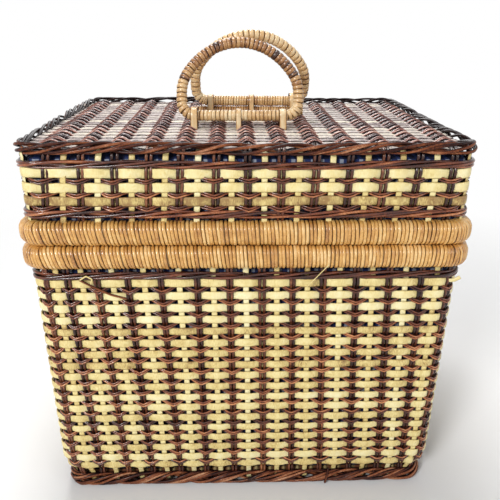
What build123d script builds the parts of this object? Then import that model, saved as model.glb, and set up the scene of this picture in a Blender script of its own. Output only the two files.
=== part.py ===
"""Two-tone wicker picnic basket: woven body, hinged deep lid, two folding cane handles.

Millimetres. +Z is up, the front faces -Y, and the origin is the centre of the bottom.
Woven walls are drawn as a weft skin with the stakes standing against its inner face.
"""
import os
from math import cos, radians, sin, sqrt

from build123d import *

os.makedirs("parts", exist_ok=True)

# Woven walls, measured over their outer faces
wall_width = 422.0
wall_depth = 326.0
heel_width = 420.0
heel_depth = 312.0
foot_width = 405.0
foot_depth = 298.0
corner_radius = 18.0
weft_thickness = 4.0
stake_thickness = 3.0
lining_thickness = 1.0

# Heights of the body
border_height = 16.0
border_proud = 2.0
border_edge = 3.0
heel_height = 26.0
weave_height = 226.0
wale_height = 8.5
wale_proud = 1.5
open_band = 4.0
base_thickness = 7.0

# Wrapped rims of the body and the lid
rim_height = 23.6
rim_thickness = 21.0
rim_proud = 7.5
rim_edge = 9.0
rim_gap = 0.4
binding_thickness = 1.5
stake_end_gap = 1.0

# Heights of the lid above its rim
lid_open_band = 5.5
lid_lower_wale_height = 6.5
lid_weave_height = 37.0
lid_upper_wale_height = 6.0
lid_upper_open_band = 11.5
lid_border_height = 6.5
lid_border_thickness = 9.0
lid_border_edge = 2.5
stake_bend = 8.0

# Stakes: pairs of dark round reeds, with pale flat reeds between them
body_stake_pitch = 31.6
body_front_pairs = 12
body_side_pairs = 9
lid_stake_pitch = 31.4
lid_front_pairs = 13
lid_side_pairs = 10
pair_gap = 0.1
pale_stake_width = 7.5

# Cane hinges at the back
hinge_offset = 120.0
hinge_rod_radius = 2.5
hinge_play = 0.1
hinge_clearance = 0.3
hinge_loop_width = 8.0
hinge_loop_pitch = 16.0
hinge_rod_overhang = 3.0
hinge_web = 3.0

# Handles
handle_pole_radius = 4.25
handle_half_width = 62.0
handle_corner_radius = 14.4
handle_side_rise = 9.8
handle_side_radius = 37.3
handle_side_arc = 33.0
handle_shoulder_radius = 76.5
handle_shoulder_arc = 27.0
front_handle_setback = 113.0
front_handle_rise = 10.0
front_handle_lean = 20.0
rear_handle_setback = 177.0
rear_handle_lean = 20.0
handle_shift = 6.0
handle_rest_gap = 0.3

# Cane ties that hold the handle bars to the lid
tie_width = 8.0
tie_thickness = 1.4
tie_play = 3.2
tie_slot_play = 0.3

# Levels worked out from the heights
heel_top = border_height + heel_height
weave_top = heel_top + weave_height
wale_top = weave_top + wale_height
body_rim_bottom = wale_top + open_band
body_rim_top = body_rim_bottom + rim_height
lid_rim_bottom = body_rim_top + rim_gap
lid_rim_top = lid_rim_bottom + rim_height
lower_wale_bottom = lid_rim_top + lid_open_band
lid_weave_bottom = lower_wale_bottom + lid_lower_wale_height
lid_weave_top = lid_weave_bottom + lid_weave_height
upper_wale_top = lid_weave_top + lid_upper_wale_height
lid_stake_top = upper_wale_top + lid_upper_open_band
lid_top = lid_stake_top + weft_thickness

# Depths in from the outer face of a woven wall
stake_outer = weft_thickness
stake_middle = weft_thickness + stake_thickness / 2
stake_inner = weft_thickness + stake_thickness
lining_inner = stake_inner + lining_thickness
reed_radius = stake_thickness / 2
reed_offset = reed_radius + pair_gap / 2

rim_width = wall_width + 2 * rim_proud
rim_depth = wall_depth + 2 * rim_proud
rim_back = rim_depth / 2
handle_radius = handle_pole_radius + binding_thickness


def columns(count, pitch):
    """Places of count stakes at an even pitch about the middle."""
    return [(i - (count - 1) / 2) * pitch for i in range(count)]


def frame(width, depth, corner, inset, thickness, low, high, edge):
    """Level ring inside a rounded rectangle, with its four long edges rounded."""
    inner = inset + thickness
    with BuildPart() as ring:
        with BuildSketch(Plane.XY.offset(low)):
            RectangleRounded(width - 2 * inset, depth - 2 * inset, corner - inset)
            RectangleRounded(width - 2 * inner, depth - 2 * inner, corner - inner, mode=Mode.SUBTRACT)
        extrude(amount=high - low)
        if edge > 0:
            levels = ring.edges().group_by(Axis.Z)
            fillet(levels[0] + levels[-1], edge)
    return ring.part


def wall_core(inset, low, high):
    """Solid inside the body's walls, inset from their outer face, from low to high."""
    with BuildPart() as core:
        stations = [
            (foot_width, foot_depth, border_height),
            (heel_width, heel_depth, heel_top),
            (wall_width, wall_depth, body_rim_bottom),
            (wall_width, wall_depth, body_rim_top),
        ]
        for lower, upper in zip(stations, stations[1:]):
            for width, depth, level in (lower, upper):
                with BuildSketch(Plane.XY.offset(level)):
                    RectangleRounded(width - 2 * inset, depth - 2 * inset, corner_radius - inset)
            loft(ruled=True)
        with BuildSketch(Plane.XY.offset(low)):
            Rectangle(2 * wall_width, 2 * wall_depth)
        extrude(amount=high - low, mode=Mode.INTERSECT)
    return core.part


def level_wale(low, high):
    """Wale standing proud of the upright part of a wall."""
    thickness = wale_proud + weft_thickness
    return frame(wall_width, wall_depth, corner_radius, -wale_proud, thickness, low, high, 0)


def body_ring(outer, inner, low, high):
    """Slice of the tapered body wall between two insets and two levels."""
    with BuildPart() as ring:
        add(wall_core(outer, low, high))
        add(wall_core(inner, low, high), mode=Mode.SUBTRACT)
    return ring.part


def stake_sections(places, pale):
    """Sections of a row of stakes along X, as flats or as pairs of rounds."""
    with BuildSketch() as row:
        if pale:
            with Locations(*[(place, 0) for place in places]):
                Rectangle(pale_stake_width, stake_thickness)
        else:
            with Locations(*[(place + side * reed_offset, 0) for place in places for side in (-1, 1)]):
                Circle(reed_radius)
    return row.sketch


def leaning_stakes(section, turn, stations):
    """Stakes with one level section that lean from station to station.

    Each station is (x, y, z), and turn is the section's angle in plan.
    """
    with BuildPart() as stakes:
        for start, end in zip(stations, stations[1:]):
            run = Vector(*end) - Vector(*start)
            with BuildSketch(Plane(origin=start, x_dir=(cos(radians(turn)), sin(radians(turn)), 0))):
                add(section)
            extrude(amount=run.length, dir=run)
    return stakes.part


def wall_stations(side):
    """Middle of the stake layer on one side of the body, from the foot to inside the rim."""
    along_x, along_y = side
    levels = [
        (foot_width, foot_depth, border_height),
        (heel_width, heel_depth, heel_top),
        (wall_width, wall_depth, body_rim_bottom),
        (wall_width, wall_depth, body_rim_top - binding_thickness - stake_end_gap),
    ]
    return [
        (along_x * (width / 2 - stake_middle), along_y * (depth / 2 - stake_middle), level)
        for width, depth, level in levels
    ]


def corner_stations(side):
    """Middle of the stake layer at one corner of the body, on its diagonal."""
    bend = corner_radius - stake_middle
    pull = bend - sqrt(bend**2 - reed_offset**2) * sqrt(0.5)
    return [(x - side[0] * pull, y - side[1] * pull, z) for x, y, z in wall_stations(side)]


def body_stakes(front_places, side_places, pale):
    """Rows of stakes on the four sides of the body."""
    front = stake_sections(front_places, pale)
    sides = stake_sections(side_places, pale)
    rows = []
    for side in (-1, 1):
        rows.append(leaning_stakes(front, 0, wall_stations((0, side))))
        rows.append(leaning_stakes(sides, 90, wall_stations((side, 0))))
    return rows


def lid_side_stakes(places, pale):
    """Rows of upright stakes in the two side walls of the lid."""
    section = stake_sections(places, pale)
    rows = []
    for side in (-1, 1):
        middle = (side * side_middle, 0)
        rows.append(leaning_stakes(section, 90, [(*middle, stake_root), (*middle, lid_stake_top)]))
    return rows


def handle_loop(radius, hollow):
    """Closed D of round section in the XZ plane, its bar centred on the origin."""
    side_turn = radians(handle_side_arc)
    full_turn = radians(handle_side_arc + handle_shoulder_arc)
    side_run = handle_side_radius * (1 - cos(side_turn))
    shoulder_run = handle_shoulder_radius * (cos(side_turn) - cos(full_turn))
    crown_radius = (handle_half_width - side_run - shoulder_run) / cos(full_turn)
    crown_arc = 90 - handle_side_arc - handle_shoulder_arc
    with BuildPart() as loop:
        with BuildLine(Plane.XZ) as path:
            bar = Line((0, 0), (handle_half_width - handle_corner_radius, 0))
            corner = JernArc(bar @ 1, bar % 1, handle_corner_radius, 90)
            leg = Line(corner @ 1, corner @ 1 + Vector(0, 0, handle_side_rise))
            side = JernArc(leg @ 1, leg % 1, handle_side_radius, handle_side_arc)
            shoulder = JernArc(side @ 1, side % 1, handle_shoulder_radius, handle_shoulder_arc)
            JernArc(shoulder @ 1, shoulder % 1, crown_radius, crown_arc)
        with BuildSketch(Plane.YZ):
            Circle(radius)
            if hollow > 0:
                Circle(hollow, mode=Mode.SUBTRACT)
        sweep(path=path.wires()[0])
        mirror(about=Plane.YZ)
    return loop.part


def rim_cavity(low):
    """Room inside the cane binding of a rim."""
    return frame(
        rim_width,
        rim_depth,
        corner_radius + rim_proud,
        binding_thickness,
        rim_thickness - 2 * binding_thickness,
        low + binding_thickness,
        low + rim_height - binding_thickness,
        rim_edge - binding_thickness,
    )


def rim_envelope(low):
    """Whole section of a rim."""
    return frame(
        rim_width, rim_depth, corner_radius + rim_proud, 0, rim_thickness, low, low + rim_height, rim_edge
    )


def stake_slot(low, high):
    """Ring where the upright ends of the stakes pass through a binding."""
    return frame(wall_width, wall_depth, corner_radius, stake_outer, stake_thickness, low, high, 0)


def cane_binding(low, slot):
    """Cane wound round a rim, open only where the stakes enter it."""
    with BuildPart() as binding:
        add(rim_envelope(low))
        add(rim_cavity(low), mode=Mode.SUBTRACT)
        add(slot, mode=Mode.SUBTRACT)
    return binding.part


def inside_of(inset, low, high):
    """Solid inside the upright part of a wall, inset from its outer face."""
    with BuildPart() as core:
        with BuildSketch(Plane.XY.offset(low)):
            RectangleRounded(wall_width - 2 * inset, wall_depth - 2 * inset, corner_radius - inset)
        extrude(amount=high - low)
    return core.part


def loop_blocks(places, low):
    """Blocks across the back of a rim, where the hinge loops take the place of the binding."""
    with BuildPart() as blocks:
        for place in places:
            with BuildSketch(Plane.YZ.offset(place - hinge_loop_width / 2)):
                with Locations((rim_back - rim_thickness / 2, low + rim_height / 2)):
                    Rectangle(rim_thickness + 2, rim_height + 2)
            extrude(amount=hinge_loop_width)
    return blocks.part


def hinge_eyes(places, corner_level):
    """Eyes round the hinge rod, each joined by a web to the rounded edge of a rim."""
    corner = Vector(0, rim_back - rim_edge, corner_level)
    rod = Vector(0, rod_y, rod_z)
    reach = (rod - corner).normalized()
    web_start = corner + reach * (rim_edge - binding_thickness / 2)
    web_end = rod - reach * (hinge_rod_radius + hinge_play + binding_thickness / 2)
    with BuildPart() as eyes:
        for place in places:
            with BuildSketch(Plane.YZ.offset(place - hinge_loop_width / 2)):
                with Locations((rod_y, rod_z)):
                    Circle(eye_radius)
                with BuildLine():
                    web = Line((web_start.Y, web_start.Z), (web_end.Y, web_end.Z))
                trace(web, line_width=hinge_web)
                with Locations((rod_y, rod_z)):
                    Circle(hinge_rod_radius + hinge_play, mode=Mode.SUBTRACT)
            extrude(amount=hinge_loop_width)
    return eyes.part


def tie_profile(radius, height):
    """Loop section about a handle bar, round above it and square where it passes under the lid weave."""
    foot = lid_stake_top + handle_radius + tie_play - radius - height
    with BuildSketch() as profile:
        Circle(radius)
        with Locations((0, foot / 2)):
            Rectangle(2 * radius, -foot)
    return profile.sketch


def cane_ties(places, middle, height):
    """Flat cane loops that hold a handle bar down on the lid."""
    inner = handle_radius + tie_play
    outline = tie_profile(inner + tie_thickness, height)
    room = tie_profile(inner, height)
    with BuildPart() as ties:
        for place in places:
            with BuildSketch(Plane.YZ.offset(place)):
                with Locations((middle, height)):
                    add(outline)
                    add(room, mode=Mode.SUBTRACT)
            extrude(amount=tie_width / 2, both=True)
    return ties.part


# Hinge axis: the rod lies in the groove behind the two rims, clear of both
eye_radius = hinge_rod_radius + hinge_play + binding_thickness
rod_reach = rim_edge + eye_radius + hinge_clearance
rod_rise = rim_edge + rim_gap / 2
rod_y = rim_back - rim_edge + sqrt(rod_reach**2 - rod_rise**2)
rod_z = body_rim_top + rim_gap / 2
hinge_sides = (-1, 1)
body_loop_places = [side * hinge_offset + end * hinge_loop_pitch for side in hinge_sides for end in (-1, 1)]
lid_loop_places = [side * hinge_offset for side in hinge_sides]

# Handle bars and ties: ties pass between the lid's stakes
front_bar_y = -wall_depth / 2 + front_handle_setback
front_bar_z = lid_top + front_handle_rise
rear_bar_y = -wall_depth / 2 + rear_handle_setback
bearer_z = lid_top + handle_radius
rear_bar_z = bearer_z + 2 * handle_radius + handle_rest_gap
front_tie_places = [step * lid_stake_pitch / 4 for step in (-7, -1, 5)]
rear_tie_places = [-place for place in front_tie_places]

# Body: base
border_ring = frame(
    foot_width,
    foot_depth,
    corner_radius,
    -border_proud,
    border_proud + stake_inner,
    0,
    border_height,
    border_edge,
)
with BuildPart() as base_border:
    add(border_ring)
base_border.part.label = "base_border"
export_step(base_border.part, "parts/base_border.step")

with BuildPart() as base_panel:
    with BuildSketch(Plane.XY.offset(border_height - base_thickness)):
        RectangleRounded(
            foot_width - 2 * stake_inner, foot_depth - 2 * stake_inner, corner_radius - stake_inner
        )
    extrude(amount=base_thickness)
base_panel.part.label = "base_panel"
export_step(base_panel.part, "parts/base_panel.step")

# Body: woven wall, stakes and lining
body_weave = body_ring(0, stake_outer, border_height, weave_top)
with BuildPart() as body_wall:
    add(body_weave)
body_wall.part.label = "body_wall"
export_step(body_wall.part, "parts/body_wall.step")

body_twist = body_ring(-wale_proud, stake_outer, weave_top, wale_top)
with BuildPart() as body_wale:
    add(body_twist)
body_wale.part.label = "body_wale"
export_step(body_wale.part, "parts/body_wale.step")

dark_rows = body_stakes(
    columns(body_front_pairs, body_stake_pitch), columns(body_side_pairs, body_stake_pitch), False
)
corner_pair = stake_sections([0], False)
for turn_x, turn_y in [(-1, -1), (-1, 1), (1, -1), (1, 1)]:
    dark_rows.append(leaning_stakes(corner_pair, -45 * turn_x * turn_y, corner_stations((turn_x, turn_y))))
with BuildPart() as body_dark_stakes:
    for row in dark_rows:
        add(row)
body_dark_stakes.part.label = "body_dark_stakes"
export_step(body_dark_stakes.part, "parts/body_dark_stakes.step")

pale_rows = body_stakes(
    columns(body_front_pairs - 1, body_stake_pitch), columns(body_side_pairs - 1, body_stake_pitch), True
)
with BuildPart() as body_pale_stakes:
    for row in pale_rows:
        add(row)
body_pale_stakes.part.label = "body_pale_stakes"
export_step(body_pale_stakes.part, "parts/body_pale_stakes.step")

lining_outside = wall_core(stake_inner, border_height, body_rim_bottom + rim_edge / 2)
lining_inside = wall_core(lining_inner, border_height + lining_thickness, body_rim_top)
body_rim_solid = rim_envelope(body_rim_bottom)
with BuildPart() as body_lining:
    add(lining_outside)
    add(lining_inside, mode=Mode.SUBTRACT)
    add(body_rim_solid, mode=Mode.SUBTRACT)
body_lining.part.label = "body_lining"
export_step(body_lining.part, "parts/body_lining.step")

# Body: wrapped rim
body_cavity = rim_cavity(body_rim_bottom)
body_slot = stake_slot(body_rim_bottom, body_rim_bottom + rim_height / 2)
body_binding_whole = cane_binding(body_rim_bottom, body_slot)

within_body_weft = inside_of(stake_outer, body_rim_bottom, body_rim_top)
with BuildPart() as body_rim_outer_hoop:
    add(body_cavity)
    add(within_body_weft, mode=Mode.SUBTRACT)
body_rim_outer_hoop.part.label = "body_rim_outer_hoop"
export_step(body_rim_outer_hoop.part, "parts/body_rim_outer_hoop.step")

within_body_stakes = inside_of(stake_inner, body_rim_bottom, body_rim_top)
with BuildPart() as body_rim_inner_hoop:
    add(body_cavity)
    add(within_body_stakes, mode=Mode.INTERSECT)
body_rim_inner_hoop.part.label = "body_rim_inner_hoop"
export_step(body_rim_inner_hoop.part, "parts/body_rim_inner_hoop.step")

body_loop_blocks = loop_blocks(body_loop_places, body_rim_bottom)
with BuildPart() as body_rim_binding:
    add(body_binding_whole)
    add(body_loop_blocks, mode=Mode.SUBTRACT)
body_rim_binding.part.label = "body_rim_binding"
export_step(body_rim_binding.part, "parts/body_rim_binding.step")

# Hinges
body_eyes = hinge_eyes(body_loop_places, body_rim_top - rim_edge)
with BuildPart() as body_hinge_loops:
    add(body_binding_whole)
    add(body_loop_blocks, mode=Mode.INTERSECT)
    add(body_eyes)
body_hinge_loops.part.label = "body_hinge_loops"
export_step(body_hinge_loops.part, "parts/body_hinge_loops.step")

rod_length = 2 * hinge_loop_pitch + hinge_loop_width + 2 * hinge_rod_overhang
with BuildPart() as hinge_rods:
    for side in hinge_sides:
        with BuildSketch(Plane.YZ.offset(side * hinge_offset)):
            with Locations((rod_y, rod_z)):
                Circle(hinge_rod_radius)
        extrude(amount=rod_length / 2, both=True)
hinge_rods.part.label = "hinge_rods"
export_step(hinge_rods.part, "parts/hinge_rods.step")

# Lid: wrapped rim
lid_cavity = rim_cavity(lid_rim_bottom)
lid_slot = stake_slot(lid_rim_top - rim_height / 2, lid_rim_top)
lid_binding_whole = cane_binding(lid_rim_bottom, lid_slot)

within_lid_weft = inside_of(stake_outer, lid_rim_bottom, lid_rim_top)
with BuildPart() as lid_rim_outer_hoop:
    add(lid_cavity)
    add(within_lid_weft, mode=Mode.SUBTRACT)
lid_rim_outer_hoop.part.label = "lid_rim_outer_hoop"
export_step(lid_rim_outer_hoop.part, "parts/lid_rim_outer_hoop.step")

within_lid_stakes = inside_of(stake_inner, lid_rim_bottom, lid_rim_top)
with BuildPart() as lid_rim_inner_hoop:
    add(lid_cavity)
    add(within_lid_stakes, mode=Mode.INTERSECT)
lid_rim_inner_hoop.part.label = "lid_rim_inner_hoop"
export_step(lid_rim_inner_hoop.part, "parts/lid_rim_inner_hoop.step")

lid_loop_blocks = loop_blocks(lid_loop_places, lid_rim_bottom)
with BuildPart() as lid_rim_binding:
    add(lid_binding_whole)
    add(lid_loop_blocks, mode=Mode.SUBTRACT)
lid_rim_binding.part.label = "lid_rim_binding"
export_step(lid_rim_binding.part, "parts/lid_rim_binding.step")

lid_eyes = hinge_eyes(lid_loop_places, lid_rim_bottom + rim_edge)
with BuildPart() as lid_hinge_loops:
    add(lid_binding_whole)
    add(lid_loop_blocks, mode=Mode.INTERSECT)
    add(lid_eyes)
lid_hinge_loops.part.label = "lid_hinge_loops"
export_step(lid_hinge_loops.part, "parts/lid_hinge_loops.step")

# Lid: woven wall between its two wales
lower_twist = level_wale(lower_wale_bottom, lid_weave_bottom)
with BuildPart() as lid_lower_wale:
    add(lower_twist)
lid_lower_wale.part.label = "lid_lower_wale"
export_step(lid_lower_wale.part, "parts/lid_lower_wale.step")

lid_weave = frame(
    wall_width, wall_depth, corner_radius, 0, weft_thickness, lid_weave_bottom, lid_weave_top, 0
)
with BuildPart() as lid_wall:
    add(lid_weave)
lid_wall.part.label = "lid_wall"
export_step(lid_wall.part, "parts/lid_wall.step")

upper_twist = level_wale(lid_weave_top, upper_wale_top)
with BuildPart() as lid_upper_wale:
    add(upper_twist)
lid_upper_wale.part.label = "lid_upper_wale"
export_step(lid_upper_wale.part, "parts/lid_upper_wale.step")

# Lid: stakes that cross the top and bend down the front and back
stake_root = lid_rim_bottom + binding_thickness + stake_end_gap
stake_span = wall_depth / 2 - stake_middle
stake_crest = lid_stake_top - stake_thickness / 2
with BuildLine(Plane.YZ) as stake_path:
    FilletPolyline(
        (-stake_span, stake_root),
        (-stake_span, stake_crest),
        (stake_span, stake_crest),
        (stake_span, stake_root),
        radius=stake_bend,
    )
pale_flat = stake_sections([0], True)
stake_start = Plane((0, -stake_span, stake_root))

with BuildPart() as bent_pair:
    with BuildSketch(stake_start):
        add(corner_pair)
    sweep(path=stake_path.wires()[0])

with BuildPart() as bent_flat:
    with BuildSketch(stake_start):
        add(pale_flat)
    sweep(path=stake_path.wires()[0])

with BuildPart() as lid_dark_stakes:
    with Locations(*[(place, 0, 0) for place in columns(lid_front_pairs, lid_stake_pitch)]):
        add(bent_pair.part)
lid_dark_stakes.part.label = "lid_dark_stakes"
export_step(lid_dark_stakes.part, "parts/lid_dark_stakes.step")

with BuildPart() as lid_pale_stakes:
    with Locations(*[(place, 0, 0) for place in columns(lid_front_pairs - 1, lid_stake_pitch)]):
        add(bent_flat.part)
lid_pale_stakes.part.label = "lid_pale_stakes"
export_step(lid_pale_stakes.part, "parts/lid_pale_stakes.step")

# Lid: short stakes of the two side walls
side_middle = wall_width / 2 - stake_middle
lid_side_pairs_of_reeds = lid_side_stakes(columns(lid_side_pairs, lid_stake_pitch), False)
with BuildPart() as lid_side_dark_stakes:
    for row in lid_side_pairs_of_reeds:
        add(row)
lid_side_dark_stakes.part.label = "lid_side_dark_stakes"
export_step(lid_side_dark_stakes.part, "parts/lid_side_dark_stakes.step")

lid_side_flats = lid_side_stakes(columns(lid_side_pairs - 1, lid_stake_pitch), True)
with BuildPart() as lid_side_pale_stakes:
    for row in lid_side_flats:
        add(row)
lid_side_pale_stakes.part.label = "lid_side_pale_stakes"
export_step(lid_side_pale_stakes.part, "parts/lid_side_pale_stakes.step")

# Lid: top weave, its border and the lining
border_inset = lid_border_thickness - wale_proud
top_border_ring = frame(
    wall_width,
    wall_depth,
    corner_radius,
    -wale_proud,
    lid_border_thickness,
    lid_stake_top,
    lid_stake_top + lid_border_height,
    lid_border_edge,
)
with BuildPart() as lid_top_border:
    add(top_border_ring)
lid_top_border.part.label = "lid_top_border"
export_step(lid_top_border.part, "parts/lid_top_border.step")

tie_leg = handle_radius + tie_play + tie_thickness / 2
with BuildPart() as lid_panel:
    with BuildSketch(Plane.XY.offset(lid_stake_top)):
        RectangleRounded(
            wall_width - 2 * border_inset, wall_depth - 2 * border_inset, corner_radius - border_inset
        )
        tie_rows = ((front_tie_places, front_bar_y), (rear_tie_places, rear_bar_y))
        for places, bar_y in tie_rows:
            with Locations(*[(place, bar_y + side * tie_leg) for place in places for side in (-1, 1)]):
                Rectangle(tie_width + 2 * tie_slot_play, tie_thickness + 2 * tie_slot_play, mode=Mode.SUBTRACT)
    extrude(amount=weft_thickness)
lid_panel.part.label = "lid_panel"
export_step(lid_panel.part, "parts/lid_panel.step")

with BuildPart() as lid_lining_room:
    with BuildSketch(Plane.XY.offset(lid_rim_top - rim_edge)):
        RectangleRounded(
            wall_width - 2 * lining_inner, wall_depth - 2 * lining_inner, corner_radius - lining_inner
        )
    extrude(amount=lid_stake_top - stake_thickness - lining_thickness - lid_rim_top + rim_edge)
    fillet(lid_lining_room.edges().group_by(Axis.Z)[-1], stake_bend - stake_thickness / 2 - lining_thickness)

lid_rim_solid = rim_envelope(lid_rim_bottom)
with BuildPart() as lid_lining:
    with BuildSketch(Plane.XY.offset(lid_rim_top - rim_edge / 2)):
        RectangleRounded(
            wall_width - 2 * stake_inner, wall_depth - 2 * stake_inner, corner_radius - stake_inner
        )
    extrude(amount=lid_stake_top - stake_thickness - lid_rim_top + rim_edge / 2)
    fillet(lid_lining.edges().group_by(Axis.Z)[-1], stake_bend - stake_thickness / 2)
    add(lid_lining_room.part, mode=Mode.SUBTRACT)
    add(lid_rim_solid, mode=Mode.SUBTRACT)
lid_lining.part.label = "lid_lining"
export_step(lid_lining.part, "parts/lid_lining.step")

# Handles: a pole bent into a D, wound with cane
handle_pole = handle_loop(handle_pole_radius, 0)
handle_cane = handle_loop(handle_radius, handle_pole_radius)
front_place = Location((-handle_shift, front_bar_y, front_bar_z), (-front_handle_lean, 0, 0))
rear_place = Location((handle_shift, rear_bar_y, rear_bar_z), (rear_handle_lean, 0, 0))

with BuildPart() as front_handle_pole:
    with Locations(front_place):
        add(handle_pole)
front_handle_pole.part.label = "front_handle_pole"
export_step(front_handle_pole.part, "parts/front_handle_pole.step")

with BuildPart() as front_handle_binding:
    with Locations(front_place):
        add(handle_cane)
front_handle_binding.part.label = "front_handle_binding"
export_step(front_handle_binding.part, "parts/front_handle_binding.step")

with BuildPart() as rear_handle_pole:
    with Locations(rear_place):
        add(handle_pole)
rear_handle_pole.part.label = "rear_handle_pole"
export_step(rear_handle_pole.part, "parts/rear_handle_pole.step")

with BuildPart() as rear_handle_binding:
    with Locations(rear_place):
        add(handle_cane)
rear_handle_binding.part.label = "rear_handle_binding"
export_step(rear_handle_binding.part, "parts/rear_handle_binding.step")

# Bearer rod under the rear handle, and the ties of both handles
with BuildPart() as bearer_rod:
    with BuildSketch(Plane.YZ.offset(handle_shift)):
        with Locations((rear_bar_y, bearer_z)):
            Circle(handle_pole_radius)
    extrude(amount=handle_half_width, both=True)
bearer_rod.part.label = "bearer_rod"
export_step(bearer_rod.part, "parts/bearer_rod.step")

with BuildPart() as bearer_binding:
    with BuildSketch(Plane.YZ.offset(handle_shift)):
        with Locations((rear_bar_y, bearer_z)):
            Circle(handle_radius)
            Circle(handle_pole_radius, mode=Mode.SUBTRACT)
    extrude(amount=handle_half_width, both=True)
bearer_binding.part.label = "bearer_binding"
export_step(bearer_binding.part, "parts/bearer_binding.step")

front_ties = cane_ties(front_tie_places, front_bar_y, front_bar_z)
with BuildPart() as front_handle_ties:
    add(front_ties)
front_handle_ties.part.label = "front_handle_ties"
export_step(front_handle_ties.part, "parts/front_handle_ties.step")

rear_ties = cane_ties(rear_tie_places, rear_bar_y, rear_bar_z)
with BuildPart() as rear_handle_ties:
    add(rear_ties)
rear_handle_ties.part.label = "rear_handle_ties"
export_step(rear_handle_ties.part, "parts/rear_handle_ties.step")
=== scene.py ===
import bpy
import numpy as np
from mathutils import Matrix, Vector


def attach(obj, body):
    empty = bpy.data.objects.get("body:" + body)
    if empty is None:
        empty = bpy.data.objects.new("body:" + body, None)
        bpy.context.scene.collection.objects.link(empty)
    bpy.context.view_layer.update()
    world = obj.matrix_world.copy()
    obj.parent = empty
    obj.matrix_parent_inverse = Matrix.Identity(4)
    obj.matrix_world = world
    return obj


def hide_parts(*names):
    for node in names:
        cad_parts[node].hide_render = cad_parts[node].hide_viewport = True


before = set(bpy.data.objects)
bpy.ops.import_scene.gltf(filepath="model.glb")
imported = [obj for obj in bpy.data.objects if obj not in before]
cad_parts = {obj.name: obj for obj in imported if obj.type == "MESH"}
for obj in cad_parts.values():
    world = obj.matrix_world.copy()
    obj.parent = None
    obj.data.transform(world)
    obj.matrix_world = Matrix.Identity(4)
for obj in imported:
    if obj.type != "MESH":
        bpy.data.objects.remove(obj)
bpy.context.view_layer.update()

bpy.context.scene.view_settings.view_transform = "Standard"
chance = np.random.default_rng(11)
MM = 0.001

# Half width, half depth and corner radius of the walls, the rims and the foot, in millimetres as in the CAD
WALL = (211.0, 163.0, 18.0)
RIM = (218.5, 170.5, 25.5)
FOOT = (204.5, 151.0, 20.0)

# The body's half width and half depth at a few heights
HEIGHTS = [0.0, 16.0, 42.0, 280.5, 420.0]
HALF_WIDTHS = [202.5, 202.5, 210.0, 211.0, 211.0]
HALF_DEPTHS = [149.0, 149.0, 156.0, 163.0, 163.0]

# Distance from one cream row to the next and place of one of them, on both walls and across the lid's top,
# and half the length of the top's rows
BODY_ROW, BODY_CREAM = 13.63, 264.0
LID_ROW, LID_CREAM = 13.3, 374.2
TOP_ROW, TOP_CREAM = 15.5, -147.2
TOP_HALF = 206.0

# Distance between dark stakes, half width and half thickness of pale ones, and half thickness of cream weft
BODY_PITCH, LID_PITCH = 31.6, 31.4
PALE_STAKE = (2.9, 0.5)
CREAM_THICK = 0.7

# Height of the lid's top, the middles of the handles' bars and of the bearer rod, the handles' lean and how far
# the cane wound round them is from their middle
LID_TOP = 398.6
FRONT_BAR = (-6.0, -50.0, LID_TOP + 10.0)
REAR_BAR = (6.0, 14.0, LID_TOP + 17.55)
BEARER = (6.0, 14.0, LID_TOP + 5.75)
LEAN = np.radians(20.0)
WOUND_RADIUS = 4.6

# Places of the dark stakes along the front, left to right, which stand unevenly: on the body at a height
# under the rim and at one by the foot, on the front of the lid and across its top
HIGH_LEVEL, LOW_LEVEL = 262.0, 35.0
BODY_HIGH = np.array([-175.0, -147, -117, -85, -50, -18, 14, 44, 74, 107, 140, 172])
BODY_LOW = np.array([-166.0, -136, -108, -76, -46, -14, 19, 51, 84, 118, 151, 179])
LID_FRONT = np.array([-190.0, -157, -125, -94, -66, -32, 0, 30, 60, 91, 123, 153, 187])
LID_ACROSS = np.array([-180.0, -149, -120, -89, -60, -29, -1, 30, 62, 93, 126, 158, 189])

# Finishes

class Number:
    """A value in a shader. Arithmetic on it adds Math nodes."""

    def __init__(self, tree, socket):
        self.tree, self.socket = tree, socket

    def math(self, operation, *others):
        node = self.tree.nodes.new("ShaderNodeMath")
        node.operation = operation
        for place, value in zip(node.inputs, (self, *others)):
            if isinstance(value, Number):
                self.tree.links.new(value.socket, place)
            else:
                place.default_value = value
        return Number(self.tree, node.outputs[0])

    def __add__(self, other):
        return self.math("ADD", other)

    def __sub__(self, other):
        return self.math("SUBTRACT", other)

    def __rsub__(self, other):
        return self * -1.0 + other

    def __mul__(self, other):
        return self.math("MULTIPLY", other)

    __radd__, __rmul__ = __add__, __mul__

    def above(self, other):
        return self.math("GREATER_THAN", other)

    def held(self):
        """The value kept between 0 and 1."""
        return self.math("MAXIMUM", 0.0).math("MINIMUM", 1.0)

    def fraction(self):
        return self.math("FRACT")

    def sine(self):
        return self.math("SINE")


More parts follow.
